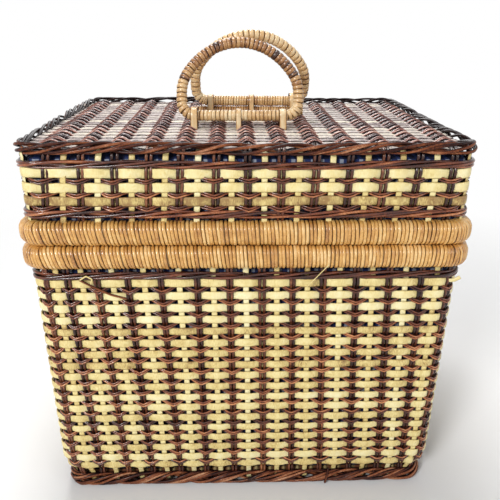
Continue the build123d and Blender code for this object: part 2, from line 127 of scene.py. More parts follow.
class Finish:
    """A material under construction."""

    def __init__(self, name):
        self.material = bpy.data.materials.new(name)
        self.material.use_nodes = True
        self.tree = self.material.node_tree
        self.shader = self.tree.nodes["Principled BSDF"]

    def put(self, place, value):
        """Gives a socket a value or links it to one."""
        if isinstance(value, Number):
            value = value.socket
        if isinstance(value, bpy.types.NodeSocket):
            self.tree.links.new(value, place)
        else:
            place.default_value = value

    def node(self, kind, settings=None, inputs=None, out=0):
        """One output of a new node with the given settings and the values or links of its sockets."""
        node = self.tree.nodes.new("ShaderNode" + kind)
        for key, value in (settings or {}).items():
            setattr(node, key, value)
        for key, value in (inputs or {}).items():
            self.put(node.inputs[key], value)
        return node.outputs[out]

    def number(self, *args, **more):
        return Number(self.tree, self.node(*args, **more))

    def place(self):
        """The place on the object in its own metres."""
        return self.node("TexCoord", out=3)

    def first_two(self, vector):
        """The first two values of a vector."""
        apart = self.node("SeparateXYZ", inputs={0: vector})
        return Number(self.tree, apart), Number(self.tree, apart.node.outputs[1])

    def noise(self, place, scale, detail, roughness=0.5):
        """A soft random value over a place, about 0.5 on the whole."""
        inputs = {"Vector": place, "Scale": scale, "Detail": detail, "Roughness": roughness}
        return self.number("TexNoise", inputs=inputs)

    def ramp(self, stops, share):
        """A colour that runs through the stops, each a place and a colour, by a share from 0 to 1."""
        colour = self.node("ValToRGB", inputs={"Fac": share})
        marks = colour.node.color_ramp.elements
        while len(marks) < len(stops):
            marks.new(0.5)
        for mark, (place, shade) in zip(marks, stops):
            mark.position, mark.color = place, (*shade, 1.0)
        return colour

    def bump(self, height, distance, strength):
        """A surface raised by a height between 0 and 1, times the distance in metres."""
        return self.node("Bump", inputs={"Height": height, "Distance": distance, "Strength": strength})

    def set(self, **values):
        """Sets the surface's values, with underscores for the spaces in their names."""
        for key, value in values.items():
            self.put(self.shader.inputs[key.replace("_", " ")], value)
        return self.material


def cane(name, stops, rough, coat, gloss=0.5, grain=0.35, groove_shade_and_dirt=0.5, patches=1.1):
    """Cane or reed: its colour runs through the stops by the strand's own tone, long fibres along the
    strand and blotches over the basket, and darkens by the cube of the distance from the strand's crown
    to its edges, as painted shade where strands meet their neighbours, with some dirt in the grooves.
    The fibres are raised too."""
    make = Finish(name)
    tone = make.number("Attribute", {"attribute_name": "tone"}, out=2)
    along, across = make.first_two(make.node("UVMap", {"uv_map": "along"}))
    drawn_out = dict(enumerate([along * 45.0, across * 9.0 + tone * 57.0, tone * 91.0]))
    fibre = make.noise(make.node("CombineXYZ", inputs=drawn_out), 1.0, 3.0)
    blotch = make.noise(make.place(), 38.0, 4.0, 0.65)
    edge = ((across - 0.25).math("ABSOLUTE") * 4.0).held()
    tone_shift = (fibre - 0.5) * (2.0 * grain) + (blotch - 0.5) * patches
    # Painted shade with some dirt: each strand is darkened towards its edges, where it meets its neighbours.
    mix = (tone * 0.55 + tone_shift - edge * edge * edge * groove_shade_and_dirt + 0.25).held()
    rough_map = (rough + (fibre - 0.5) * 0.25 + (blotch - 0.5) * 0.2).held()
    raised = make.bump(fibre * 0.25 + blotch * 0.2, 0.0006, 0.6)
    make.set(Coat_Weight=coat, Coat_Roughness=0.13, Specular_IOR_Level=gloss)
    return make.set(Base_Color=make.ramp(stops, mix), Roughness=rough_map, Normal=raised)


def gingham():
    """Checked cotton: two sets of bands cross at right angles; where both fall it is navy, where one does it is
    blue, and elsewhere white.
    All three are painted much darker, so the white shows grey, as painted shade for cloth that lies in shadow
    behind the weave.
    Fine threads are raised, as the product of two sine waves."""
    make = Finish("checked_cotton")
    u, v = make.first_two(make.node("UVMap", {"uv_map": "along"}))
    bands = (u * 110.0).fraction().above(0.4) + (v * 110.0).fraction().above(0.4)
    # The checks are the cloth's own; their darkness is painted shade for the shadow behind the weave.
    stops = [(0.0, (0.30, 0.33, 0.40)), (0.5, (0.012, 0.026, 0.11)), (1.0, (0.002, 0.004, 0.025))]
    threads = (u * 9000.0).sine() * (v * 9000.0).sine()
    crumple = make.noise(make.place(), 30.0, 3.0)
    raised = make.bump(threads * 0.15 + crumple, 0.001, 0.4)
    return make.set(Base_Color=make.ramp(stops, bands * 0.5), Roughness=0.88 + crumple * 0.08, Normal=raised)


def plaited_base():
    """Underside of the base: strips of two directions pass over and under each other on a square grid, each
    crowned across its width by a squared sine."""
    make = Finish("plaited_base")
    x, y = make.first_two(make.place())
    over = ((x * 62.0).fraction().above(0.5) + (y * 62.0).fraction().above(0.5)).math("MODULO", 2.0)
    crown_x, crown_y = (x * 389.56).sine(), (y * 389.56).sine()
    height = over * crown_x * crown_x + (1.0 - over) * crown_y * crown_y
    grain = make.noise(make.place(), 120.0, 4.0)
    # Painted shade: each strip is lighter on its crown and darker towards its edges, where it dips beside its
    # neighbours.
    mix = (height * 0.35 + over * 0.45 + (grain - 0.5) * 0.5).held()
    stops = [(0.0, (0.05, 0.014, 0.007)), (0.45, (0.19, 0.07, 0.03)), (1.0, (0.72, 0.56, 0.25))]
    raised = make.bump(height + grain * 0.2, 0.003, 0.8)
    return make.set(Base_Color=make.ramp(stops, mix), Roughness=0.4 + grain * 0.2, Normal=raised)


brown_reed = cane(
    "brown_reed",
    [(0.0, (0.014, 0.004, 0.003)), (0.3, (0.070, 0.015, 0.007)),
     (0.65, (0.24, 0.060, 0.018)), (1.0, (0.60, 0.25, 0.10))],
    rough=0.25, coat=0.7, gloss=0.2, groove_shade_and_dirt=0.8,
)
stake_reed = cane(
    "dark_stake_reed",
    [(0.0, (0.010, 0.004, 0.003)), (0.4, (0.045, 0.012, 0.007)),
     (0.75, (0.14, 0.040, 0.016)), (1.0, (0.40, 0.16, 0.065))],
    rough=0.28, coat=0.6, gloss=0.15, groove_shade_and_dirt=0.9,
)
worn_reed = cane(
    "worn_border_reed",
    [(0.0, (0.012, 0.004, 0.004)), (0.3, (0.070, 0.018, 0.010)),
     (0.65, (0.26, 0.080, 0.030)), (1.0, (0.56, 0.30, 0.17))],
    rough=0.36, coat=0.1, gloss=0.1, grain=0.5, groove_shade_and_dirt=0.8,
)
lid_reed = cane(
    "lid_top_reed",
    [(0.0, (0.016, 0.005, 0.005)), (0.3, (0.080, 0.022, 0.015)),
     (0.65, (0.26, 0.085, 0.055)), (1.0, (0.62, 0.40, 0.32))],
    rough=0.28, coat=0.55, gloss=0.2, groove_shade_and_dirt=0.9,
)
cream_cane = cane(
    "cream_cane",
    [(0.0, (0.30, 0.17, 0.055)), (0.2, (0.64, 0.48, 0.17)),
     (0.5, (0.82, 0.68, 0.30)), (1.0, (0.92, 0.85, 0.54))],
    rough=0.46, coat=0.1, grain=0.45,
)
faded_cane = cane(
    "faded_cane",
    [(0.0, (0.11, 0.075, 0.070)), (0.3, (0.37, 0.305, 0.29)),
     (0.6, (0.52, 0.455, 0.40)), (1.0, (0.76, 0.69, 0.55))],
    rough=0.55, coat=0.0, gloss=0.3, grain=0.75, groove_shade_and_dirt=0.7,
)
honey_cane = cane(
    "honey_cane",
    [(0.0, (0.09, 0.032, 0.010)), (0.22, (0.42, 0.18, 0.040)),
     (0.55, (0.70, 0.38, 0.10)), (1.0, (0.93, 0.71, 0.37))],
    rough=0.28, coat=0.45, groove_shade_and_dirt=1.0, patches=0.95,
)
handle_cane = cane(
    "handle_cane",
    [(0.0, (0.050, 0.018, 0.010)), (0.18, (0.34, 0.15, 0.050)),
     (0.5, (0.68, 0.43, 0.19)), (1.0, (0.90, 0.78, 0.52))],
    rough=0.33, coat=0.25, groove_shade_and_dirt=0.95,
)
cotton = gingham()
base_weave = plaited_base()


# Surfaces

def unit(v):
    """Vectors of length 1 with the directions of v."""
    return v / np.linalg.norm(v, axis=-1, keepdims=True)


def piece(name, body, form, material, replaces=()):
    """A mesh of a form: points (n, 3) in millimetres, faces as a list of (m, k) index arrays, one uv per
    face corner, and a tone per point or None."""
    points, faces, uv, tone = form
    mesh = bpy.data.meshes.new(name)
    loops = np.concatenate([f.ravel() for f in faces]).astype(np.int32)
    totals = np.concatenate([np.full(len(f), f.shape[1]) for f in faces])
    starts = np.concatenate([[0], np.cumsum(totals)[:-1]]).astype(np.int32)
    mesh.vertices.add(len(points))
    mesh.vertices.foreach_set("co", (points * MM).astype(np.float32).ravel())
    mesh.loops.add(len(loops))
    mesh.loops.foreach_set("vertex_index", loops)
    mesh.polygons.add(len(totals))
    mesh.polygons.foreach_set("loop_start", starts)
    mesh.polygons.foreach_set("use_smooth", np.ones(len(totals), bool))
    mesh.uv_layers.new(name="along").data.foreach_set("uv", uv.astype(np.float32).ravel())
    if tone is not None:
        mesh.attributes.new("tone", "FLOAT", "POINT").data.foreach_set("value", tone.astype(np.float32))
    mesh.update(calc_edges=True)
    mesh.validate()
    mesh.materials.append(material)
    made = bpy.data.objects.new(name, mesh)
    bpy.context.collection.objects.link(made)
    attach(made, body)
    if replaces:
        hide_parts(*replaces)
    return made


def section(sides, flat):
    """Points round a strand, across it and outwards, and their share of the turn: a circle by cosine and
    sine, or for flat cane a rounded crown over a shallow back."""
    if flat:
        across = np.array([1, 0.8, 0.35, -0.35, -0.8, -1, 0])
        deep = np.array([0, 0.7, 1, 1, 0.7, 0, -0.6])
        return across, deep, np.mod(np.arctan2(deep, across) / (2 * np.pi), 1)
    turn = np.arange(sides) / sides
    return np.cos(2 * np.pi * turn), np.sin(2 * np.pi * turn), turn


def strands(paths, out, half_width, half_thick, tone, sides=6, flat=False, closed=False):
    """The form of strands swept along paths (strand, step, 3). At each step the section lies across the
    path, its width along path x out and its thickness along out. Its uv is the distance along a strand
    and the share of the turn round it."""
    if closed:
        along = np.roll(paths, -1, 1) - np.roll(paths, 1, 1)
    else:
        along = np.gradient(paths, axis=1)
    along = unit(along)
    side = unit(np.cross(along, out))
    face = np.cross(side, along)
    across, deep, share = section(sides, flat)
    k = len(across)
    count, steps = paths.shape[:2]
    width = np.broadcast_to(half_width, (count, steps))[..., None, None]
    thick = np.broadcast_to(half_thick, (count, steps))[..., None, None]
    sideways = side[:, :, None] * width * across[:, None]
    outwards = face[:, :, None] * thick * deep[:, None]
    points = paths[:, :, None] + sideways + outwards
    index = np.arange(count * steps * k).reshape(count, steps, k)
    after = np.roll(index, -1, 1) if closed else index[:, 1:]
    here = index if closed else index[:, :-1]
    quads = np.stack([here, after, np.roll(after, -1, 2), np.roll(here, -1, 2)], -1).reshape(-1, 4)
    gaps = np.linalg.norm(np.diff(paths, axis=1, append=paths[:, :1]), axis=-1)
    run = np.concatenate([np.zeros((count, 1)), np.cumsum(gaps, 1)], 1) * MM
    spans = here.shape[1]
    u0 = np.broadcast_to(run[:, :spans, None], here.shape)
    u1 = np.broadcast_to(run[:, 1:spans + 1, None], here.shape)
    v0 = np.broadcast_to(share, here.shape)
    v1 = np.broadcast_to(np.append(share[1:], 1.0), here.shape)
    uv = np.stack([np.stack(pair, -1) for pair in ((u0, v0), (u1, v0), (u1, v1), (u0, v1))], -2)
    faces, corners = [quads], [uv.reshape(-1, 2)]
    if not closed:
        ends = np.concatenate([index[:, 0], index[:, -1, ::-1]])
        faces.append(ends)
        corners.append(np.zeros((ends.size, 2)))
    shades = np.broadcast_to(np.asarray(tone, float).reshape(count, -1), (count, steps))
    return points.reshape(-1, 3), faces, np.concatenate(corners), np.repeat(shades.ravel(), k)


def joined(*forms):
    """Several forms as one."""
    start, points, faces, uv, tone = 0, [], [], [], []
    for its_points, its_faces, its_uv, its_tone in forms:
        points.append(its_points)
        faces += [face + start for face in its_faces]
        uv.append(its_uv)
        tone.append(its_tone)
        start += len(its_points)
    return np.concatenate(points), faces, np.concatenate(uv), np.concatenate(tone)


def outline(s, half_w, half_d, corner):
    """Point and outward direction at distance s round a rounded rectangle, anticlockwise from the left
    end of its front: straight runs joined by quarter circles."""
    values = np.broadcast_arrays(s, half_w, half_d, corner)
    s, half_w, half_d, corner = (np.asarray(value, float) for value in values)
    bend = np.pi / 2 * corner
    runs = np.stack([2 * (half_w - corner), bend, 2 * (half_d - corner), bend] * 2)
    ends = np.cumsum(runs, axis=0)
    s = np.mod(s, ends[-1])
    part = (s[None] >= ends[:-1]).sum(0)
    local = s - np.take_along_axis(ends - runs, part[None], 0)[0]
    side, bent = part // 2, part % 2
    turn = np.pi / 2 * (side - 1) + np.where(bent, local / corner, 0.0)
    about = (side - 1 + bent) % 4
    middle_x = np.where((about == 0) | (about == 1), 1, -1) * (half_w - corner)
    middle_y = np.where((about == 1) | (about == 2), 1, -1) * (half_d - corner)
    out_x, out_y = np.cos(turn), np.sin(turn)
    straight = np.where(bent, 0.0, local)
    x = middle_x + corner * out_x - straight * out_y
    y = middle_y + corner * out_y + straight * out_x
    return x, y, out_x, out_y


def around(s, z, inset, half_w, half_d, corner):
    """Places on the wall at distance s, height z and depth inset, with the outward direction there."""
    x, y, out_x, out_y = outline(s, half_w, half_d, corner)
    s, z, inset, _ = np.broadcast_arrays(s, z, inset, x)
    place = np.stack([x - out_x * inset, y - out_y * inset, z], -1)
    return place, np.stack([out_x, out_y, np.zeros_like(out_x)], -1)


def columns(count, pitch):
    """Places about 0, one pitch apart."""
    return (np.arange(count) - (count - 1) / 2) * pitch


def with_flats(places):
    """The places of dark stakes with a pale one half way between each two."""
    out = np.repeat(places, 2, axis=0)[:-1].astype(float)
    out[1::2] = (places[:-1] + places[1:]) / 2
    return out


def stake_stops(front, side, back, corner_stops, half_w, half_d, corner):
    """Distances round the wall of the stakes at every level, in order, dark ones at even places, and the
    whole way round. Each side has its stakes at given places. With three stakes to a corner the dark one
    stands in its middle, at the front a little towards the front wall, and each pale one half way to the
    next stake."""
    half_w, half_d = np.atleast_1d(half_w), np.atleast_1d(half_d)
    bend = np.pi / 2 * corner
    sides = [(front, half_w), (side, half_d), (-back[::-1], half_w), (side, half_d)]
    shifts = [-5.0, 0.0, 0.0, 11.0]
    starts = np.cumsum([0 * half_w] + [2 * (half - corner) + bend for _, half in sides], axis=0)
    rows = []
    for k, (places, half) in enumerate(sides):
        rows.append(starts[k] + places.reshape(len(places), -1) + (half - corner))
        after, half_after = sides[(k + 1) % 4]
        last = rows[-1][-1]
        first = starts[k + 1] + after[0] + (half_after - corner)
        middle = starts[k + 1] - bend / 2 + shifts[k]
        if corner_stops == 3:
            rows.append(np.stack([(last + middle) / 2, middle, (middle + first) / 2]))
        else:
            rows.append(((last + first) / 2)[None])
    return np.concatenate(rows), starts[4]


def girth(half_w, half_d, corner):
    """Length of the way round a rounded rectangle: its straight parts and the circle of its corners."""
    return 4 * (half_w + half_d - 2 * corner) + 2 * np.pi * corner


def ease(w, power=0.75):
    """A wave with flatter tops: the sign of w times its size to a power."""
    return np.sign(w) * np.abs(w) ** power


def tones(*shape, low=0.0, high=1.0):
    return chance.uniform(low, high, shape)


def weft_rows(levels, stops, whole, halves, reed, sag=2.8, tall=4.55, tone_shift=0.0):
    """Weft round the basket, one row per level. It waves in and out between the stakes by a cosine of the
    place among them: flat cream strips pass in front of the pale stakes, and pairs of reeds in front of
    the dark ones, where they also dip to a blunt point, a mix of that cosine and a triangle wave."""
    count, steps, middle = stops.shape[0], 5, 2.6
    turn = np.arange(count * steps) / steps
    wave = np.cos(np.pi * turn)
    dips = 0.4 * wave + 0.6 * (1 - 2 * np.abs((turn + 1) % 2 - 1))
    knots = np.linspace(0, count, 23)
    rows = []
    for level, half_w, half_d, places, length in zip(levels, *halves, stops.T, whole):
        ring = np.interp(turn, np.arange(count + 1), np.append(places, places[0] + length))
        drift = np.interp(turn, knots, np.resize(chance.normal(0, 0.4, 22), 23))
        if reed:
            dip = np.repeat(chance.normal(1, 0.14, count), steps)
            for lift in (-1.0, 1.0):
                rough = chance.normal(0, 0.13, len(turn))
                z = level + 0.3 + lift * (1.12 + 0.12 * wave) - sag * dip * dips + drift + rough
                depth = middle - 1.85 * ease(wave) + chance.normal(0, 0.1, len(turn))
                rows.append((ring, z, depth, half_w, half_d))
        else:
            z = level + drift * 0.8 - 0.6 * (1 + wave) + chance.normal(0, 0.1, len(turn))
            depth = middle + 1.75 * ease(wave, 0.8)
            rows.append((ring, z, depth, half_w, half_d))
    s, z, depth, half_w, half_d = (np.array(v) for v in zip(*rows))
    paths, out = around(s, z, depth, half_w[:, None], half_d[:, None], WALL[2])
    tone = tones(len(rows), 1) - tone_shift + (0.25 if reed else 0.13) * tones(len(rows), count * steps, low=-1)
    if reed:
        # The reed's tone rises with the wave: painted highlight where it bulges out in front of a dark stake
        # and painted shade where it dips behind a pale one.
        return strands(paths, out, 1.08, 1.08, tone + 0.3 * wave, closed=True)
    half_tall = tall * chance.normal(1, 0.05, (len(rows), 1))
    return strands(paths, out, half_tall, CREAM_THICK, tone, flat=True, closed=True)


def stake_depth(wave, pale):
    """How deep in the wall a stake lies, waving between the rows of weft."""
    return 2.5 + 0.5 * wave if pale else 3.3 - 0.95 * wave


def upright_stakes(places, halves, heights, cream_row, pitch, pale):
    """Stakes up a wall. Pale flats lie in front at the rows of brown reed, and dark reeds, two side by
    side, in front at the cream rows. places is (stake, level), and the wave is a cosine of the height
    over the row pitch."""
    depth = stake_depth(np.cos(2 * np.pi * (heights - cream_row) / pitch), pale)
    offsets, size = ([0.0], PALE_STAKE) if pale else ([-1.7, 1.7], (1.78, 1.78))
    s = np.concatenate([places + offset for offset in offsets])
    s = s + np.cumsum(chance.normal(0, 0.03, s.shape), 1)
    depth = depth + chance.normal(0, 0.1, (len(s), 1))
    paths, out = around(s, heights, depth, *halves, WALL[2])
    tone = tones(len(s), 1) + 0.2 * tones(*s.shape, low=-1)
    return strands(paths, out, *size, tone, flat=pale)


def twisted(level, depth, ring, reeds, size, swing, laps, lift, tone_low=0.0):
    """Reeds twisted round each other along a ring: each circles the twist's own middle line, its height
    going with the cosine and its depth with the sine, laps times round the basket."""
    whole = girth(*ring)
    steps = int(max(360, laps * 16))
    s = np.arange(steps) / steps * whole
    turn = 2 * np.pi * s / whole
    wander = 0.6 * np.sin(turn * chance.integers(3, 9, (reeds, 1)) + tones(reeds, 1) * 6)
    phase = 2 * np.pi * (s / whole * laps + np.arange(reeds)[:, None] / reeds) + wander
    z = level + lift * np.sin(turn * 5) - swing[0] * np.cos(phase)
    inset = depth - swing[1] * np.sin(phase)
    paths, out = around(s, z, inset, *ring)
    thick = size * (1 + 0.12 * np.sin(turn * 9 + tones(reeds, 1) * 6))
    shade = tones(reeds, 1, low=tone_low) + 0.2 * np.sin(turn * 31 + tones(reeds, 1) * 6)
    return strands(paths, out, thick, thick, shade, sides=7, closed=True)


def wound_rim(low, high):
    """Cane wound round a rim: closed turns whose section is a rounded rectangle, set out by their
    distance along the rim's outer face, leaning more to the left of the basket than to the right."""
    width, height, edge, inset, pitch = 21.0, high - low, 9.0, 1.3, 3.6
    count = int(girth(*RIM) / pitch)
    s = (np.arange(count) + chance.normal(0, 0.06, count)) / count * girth(*RIM)
    lean = 2.2 - 4.2 * outline(s, *RIM)[0] / 200 + chance.normal(0, 0.5, count)
    loop = (width / 2 - inset, height / 2 - inset, edge - inset)
    y, z, out_y, out_z = outline(np.arange(20) / 20 * girth(*loop), *loop)
    proud = chance.normal(0, 0.2, (count, 1))
    depth = width / 2 + y + proud * out_y
    level = (low + high) / 2 + z + proud * out_z
    paths, wall_out = around(s[:, None] - lean[:, None] * z / height, level, depth, *RIM)
    out = wall_out * -out_y[None, :, None] + np.array([0, 0, 1.0]) * out_z[None, :, None]
    tone = tones(count, 1, low=0.2, high=0.85) + 0.12 * tones(count, 20, low=-1)
    half = pitch / 2 * chance.normal(1.0, 0.05, (count, 1))
    return strands(paths, out, half, 1.25, tone, flat=True, closed=True)


# Body of the basket

body_side = with_flats(columns(9, BODY_PITCH))
body_back = with_flats(columns(12, BODY_PITCH))


def body_halves(z):
    """Half width and half depth of the body at a height, in line between those given."""
    return np.interp(z, HEIGHTS, HALF_WIDTHS), np.interp(z, HEIGHTS, HALF_DEPTHS)


def body_stops(z):
    """Stakes, way round and half sizes of the body at some heights. The front's stakes stand in line
    between their places near the top and near the foot."""
    halves = body_halves(z)
    down = (HIGH_LEVEL - z) / (HIGH_LEVEL - LOW_LEVEL)
    front = with_flats(BODY_HIGH[:, None] + (BODY_LOW - BODY_HIGH)[:, None] * down)
    return *stake_stops(front, body_side, body_back, 3, *halves, WALL[2]), halves


cream_levels = BODY_CREAM - BODY_ROW * np.arange(18)
brown_levels = cream_levels[:-1] - BODY_ROW / 2
made = weft_rows(cream_levels, *body_stops(cream_levels), False)
piece("body_cream_weft", "basket", made, cream_cane, replaces=["body_wall"])
made = weft_rows(brown_levels, *body_stops(brown_levels), True)
piece("body_brown_weft", "basket", made, brown_reed)

heights = np.arange(6.0, 291.0, 2.75)
stops, _, halves = body_stops(heights)
made = upright_stakes(stops[0::2], halves, heights, BODY_CREAM, BODY_ROW, False)
piece("body_stake_reeds", "basket", made, stake_reed, replaces=["body_dark_stakes"])
made = upright_stakes(stops[1::2], halves, heights, BODY_CREAM, BODY_ROW, True)
piece("body_stake_flats", "basket", made, cream_cane, replaces=["body_pale_stakes"])

made = twisted(272.4, 1.6, WALL, reeds=4, size=1.55, swing=(2.7, 1.8), laps=12, lift=0.3)
piece("body_upper_twist", "basket", made, brown_reed, replaces=["body_wale"])
made = twisted(9.3, 2.6, FOOT, reeds=10, size=1.8, swing=(6.5, 3.6), laps=14, lift=0.5)
piece("foot_border", "basket", made, worn_reed, replaces=["base_border"])
made = wound_rim(280.5, 304.1)
piece("body_rim_cane", "basket", made, honey_cane, replaces=["body_rim_binding"])

# Lid

lid_side = with_flats(columns(10, LID_PITCH))
lid_across = with_flats(LID_ACROSS)


def fan(y):
    """How far the stakes on the lid's top spread from front to back: in line from 1 to 1.05."""
    return 1 + 0.05 * np.clip((y + 150) / 300, 0, 1)


lid_stops, lid_whole = stake_stops(with_flats(LID_FRONT), lid_side, lid_across * fan(150), 1, *WALL)


def lid_rows(levels):
    """Stakes, way round and half sizes of the lid's wall, the same at each level."""
    count = len(levels)
    halves = np.full(count, WALL[0]), np.full(count, WALL[1])
    return np.repeat(lid_stops, count, 1), np.repeat(lid_whole, count), halves


cream_levels = LID_CREAM - LID_ROW * np.arange(3)
# The lid's cream rows are made 0.28 of a tone darker all over.
made = weft_rows(cream_levels, *lid_rows(cream_levels), False, tall=4.8, tone_shift=0.28)
piece("lid_cream_weft", "lid", made, cream_cane, replaces=["lid_wall"])
brown_levels = LID_CREAM - LID_ROW * (np.arange(3) + 0.5)
made = weft_rows(brown_levels, *lid_rows(brown_levels), True, sag=1.7)
piece("lid_brown_weft", "lid", made, brown_reed)

made = twisted(334.9, 1.6, WALL, reeds=4, size=1.5, swing=(2.7, 1.8), laps=11, lift=0.3)
piece("lid_lower_twist", "lid", made, brown_reed, replaces=["lid_lower_wale"])
made = twisted(381.6, 1.4, WALL, reeds=4, size=1.45, swing=(2.6, 1.7), laps=10, lift=0.9, tone_low=0.1)
piece("lid_upper_twist", "lid", made, brown_reed, replaces=["lid_upper_wale"])
made = twisted(396.4, 2.4, WALL, reeds=6, size=1.5, swing=(4.4, 2.9), laps=13, lift=0.7)
piece("lid_edge_border", "lid", made, worn_reed, replaces=["lid_top_border"])
made = wound_rim(304.5, 328.1)
piece("lid_rim_cane", "lid", made, honey_cane, replaces=["lid_rim_binding"])


def over_lid(pale):
    """Line of a stake that comes up the front wall, bends over the edge by a quarter circle, crosses the
    top and goes down the back, as (y, z), its outward direction and how far it is from the wall's places
    to the top's. It waves between the rows of weft by cosines of the height and of the depth."""
    bend, sunk, wave_end, sink_start = 8.0, 4.4, 384.0, 377.0
    rise = np.arange(316.0, 386.1, 2.75)
    wall_wave = np.cos(2 * np.pi * (rise - LID_CREAM) / LID_ROW) * np.clip((wave_end - rise) / 6, 0, 1)
    sinking = np.clip((rise - sink_start) / 8, 0, 1) * (sunk - stake_depth(0, True))
    inset = stake_depth(wall_wave, pale) + sinking
    turn = np.radians([10, 32, 55, 78])
    top = LID_TOP - (5.0 if pale else 3.9)
    front_y = np.concatenate([inset - WALL[1], bend + sunk - WALL[1] - bend * np.cos(turn)])
    front_z = np.concatenate([rise, top - bend + bend * np.sin(turn)])
    front_out_y = np.concatenate([-1 + 0 * rise, -np.cos(turn)])
    front_out_z = np.concatenate([0 * rise, np.sin(turn)])
    span = np.arange(-149.0, 149.1, TOP_ROW / 5)
    level = top + (-0.6 if pale else 0.75) * np.cos(2 * np.pi * (span - TOP_CREAM) / TOP_ROW)
    y = np.concatenate([front_y, span, -front_y[::-1]])
    z = np.concatenate([front_z, level, front_z[::-1]])
    out_y = np.concatenate([front_out_y, 0 * span, -front_out_y[::-1]])
    out_z = np.concatenate([front_out_z, 1 + 0 * span, front_out_z[::-1]])
    return y, z, out_y, out_z, np.clip(np.arange(len(y)) / (len(rise) + 6), 0, 1)


def lid_crossing(wall_places, top_places, pale):
    """Stakes over the lid, one or a pair at each place, swept along the line of over_lid."""
    y, z, out_y, out_z, across = over_lid(pale)
    offsets, size = ([0.0], PALE_STAKE) if pale else ([-2.1, 2.1], (1.75, 1.75))
    x = wall_places[:, None] + (top_places[:, None] * fan(y) - wall_places[:, None]) * across
    x = np.concatenate([x + offset for offset in offsets])
    x = x + np.cumsum(chance.normal(0, 0.05, x.shape), 1)
    lift = chance.normal(0, 0.12, (len(x), 1))
    paths = np.stack([x, y + lift * out_y, z + lift * out_z], -1)
    out = np.broadcast_to(np.stack([0 * y, out_y, out_z], -1), paths.shape)
    tone = tones(len(x), 1) + 0.2 * tones(*x.shape, low=-1)
    return strands(paths, out, *size, tone, flat=pale)


made = lid_crossing(LID_FRONT, LID_ACROSS, False)
piece("lid_stake_reeds", "lid", made, stake_reed, replaces=["lid_dark_stakes"])
made = lid_crossing(with_flats(LID_FRONT)[1::2], lid_across[1::2], True)
piece("lid_stake_flats", "lid", made, cream_cane, replaces=["lid_pale_stakes"])


def lid_side_stakes(chosen, pale):
    """Short stakes in the lid's side walls, at the chosen ones of its stops."""
    heights = np.arange(316.0, 394.0, 2.75)
    places = np.repeat(lid_stops[chosen], len(heights), 1)
    return upright_stakes(places, WALL[:2], heights, LID_CREAM, LID_ROW, pale)


side_stops = np.concatenate([np.arange(26, 45), np.arange(72, 91)])
corner_stops = [25, 45, 71, 91]
made = lid_side_stakes(side_stops[side_stops % 2 == 0], False)
piece("lid_side_stake_reeds", "lid", made, stake_reed, replaces=["lid_side_dark_stakes"])
made = lid_side_stakes(np.append(side_stops[side_stops % 2 == 1], corner_stops), True)
piece("lid_side_stake_flats", "lid", made, cream_cane, replaces=["lid_side_pale_stakes"])


def top_rows(places, reed):
    """Weft across the lid's top: cream strips lie over the pale stakes, and pairs of reeds hump up over
    the dark ones. The height is a cosine of the place among the stakes."""
    x = np.arange(-TOP_HALF, TOP_HALF + 0.1, LID_PITCH / 10)
    knots = np.linspace(-TOP_HALF, TOP_HALF, 14)
    lines = []
    for place in places:
        among = np.interp(x / fan(place), [-TOP_HALF, *lid_across, TOP_HALF], np.arange(-1.0, 26.0))
        wave = np.cos(np.pi * among)
        drift = np.interp(x, knots, chance.normal(0, 0.5, 14))
        if reed:
            for lift in (-1.0, 1.0):
                rough = chance.normal(0, 0.15, len(x))
                hump = 3.9 * ease(wave, 1.35) + chance.normal(0, 0.25)
                y = place + lift * (1.3 + 0.6 * wave) + drift + rough
                lines.append((y, LID_TOP - 3.2 + hump + rough))
        else:
            z = LID_TOP - 3.9 - 0.7 * ease(wave, 0.5) + chance.normal(0, 0.08, len(x))
            lines.append((place + drift, z))
    y, z = (np.array(v) for v in zip(*lines))
    paths = np.stack([np.broadcast_to(x, y.shape), y, z], -1)
    out = np.broadcast_to([0.0, 0.0, 1.0], paths.shape)
    tone = tones(len(y), 1, low=-0.1, high=1.1) + 0.2 * tones(*y.shape, low=-1)
    if reed:
        return strands(paths, out, 1.25, 1.25, tone)
    return strands(paths, out, 6.0 * chance.normal(1, 0.06, (len(y), 1)), CREAM_THICK, tone, flat=True)


made = top_rows(TOP_CREAM + TOP_ROW * np.arange(20), False)
piece("lid_top_cream_weft", "lid", made, faded_cane, replaces=["lid_panel"])
made = top_rows(TOP_CREAM + TOP_ROW * (np.arange(19) + 0.5), True)
piece("lid_top_brown_weft", "lid", made, lid_reed)

# Loose ends

def loose(points, radius, tone, thin=1.0):
    """A short strand of reed or straw through the given points, thin across the way it faces."""
    points = np.array(points, float)
    steps = np.linspace(0, len(points) - 1, 5 * len(points))
    path = np.stack([np.interp(steps, np.arange(len(points)), part) for part in points.T], -1)[None]
    return strands(path, np.broadcast_to([0.0, -1.0, 0.0], path.shape), radius, radius * thin, tone)


by_the_rim = [(-162, -165.5, 270), (-149, -166.5, 262.7), (-134, -166.5, 255), (-118, -165.5, 249.5)]
at_the_foot = [(94.3, -153, 23.2), (93.5, -154, 14), (92.3, -154, 6.5), (91.7, -153, 2.2)]
made = joined(loose(by_the_rim, 1.2, 0.4), loose(at_the_foot, 1.3, 0.1))
piece("loose_reed_ends", "basket", made, worn_reed)
curl = [(-161, -168, 271.4), (-154.8, -168.5, 275.5), (-149.5, -168.5, 272.3), (-151, -168, 267)]
straw = [(78, -169.5, 287.5), (67, -168.5, 274), (57, -167.5, 262.2)]
corner_end = [(200, -159.5, 264.5), (204.5, -161.5, 266), (209.5, -162.5, 269.5)]
made = joined(loose(curl, 0.8, 0.6), loose(straw, 0.5, 0.7), loose(corner_end, 2.2, 0.7, thin=0.4))
piece("loose_cane_ends", "basket", made, cream_cane)
made = loose([(-205, 86, 391.8), (-206, 89, 396), (-205, 95, 400.6)], 1.6, 0.7, thin=0.5)
piece("loose_lid_end", "lid", made, faded_cane)

# Handles

